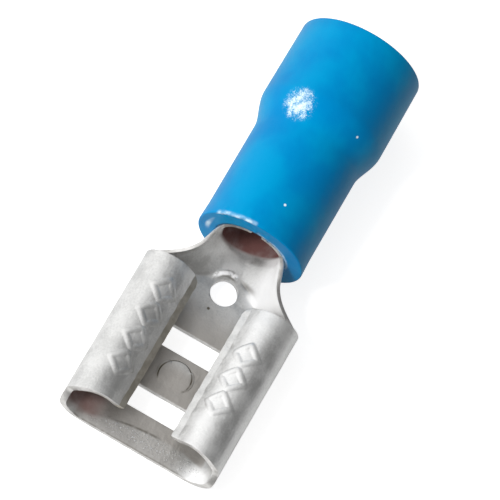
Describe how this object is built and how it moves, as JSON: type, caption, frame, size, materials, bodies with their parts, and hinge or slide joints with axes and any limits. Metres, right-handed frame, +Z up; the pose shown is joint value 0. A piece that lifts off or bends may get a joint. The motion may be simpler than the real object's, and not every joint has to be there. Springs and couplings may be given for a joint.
{
  "type": "female spade terminal",
  "caption": "Insulated female spade terminal: a folded metal receptacle with two rolled grips, a holed neck and a wire barrel held in a flared plastic sleeve.",
  "frame": {"origin": "middle of the mouth, on the face that the tab slides on", "axes": "+X from the tab's entry to the wire's entry along the terminal, +Z up from the floor to the open side of the rolls"},
  "size_m": [0.0202, 0.0074, 0.0058],
  "materials": {
    "tinned_brass": "tin plated, satin",
    "blue_vinyl": "smooth, glossy"
  },
  "bodies": {
    "root": {"terminal": "tinned_brass", "sleeve": "blue_vinyl"}
  },
  "joints": []
}
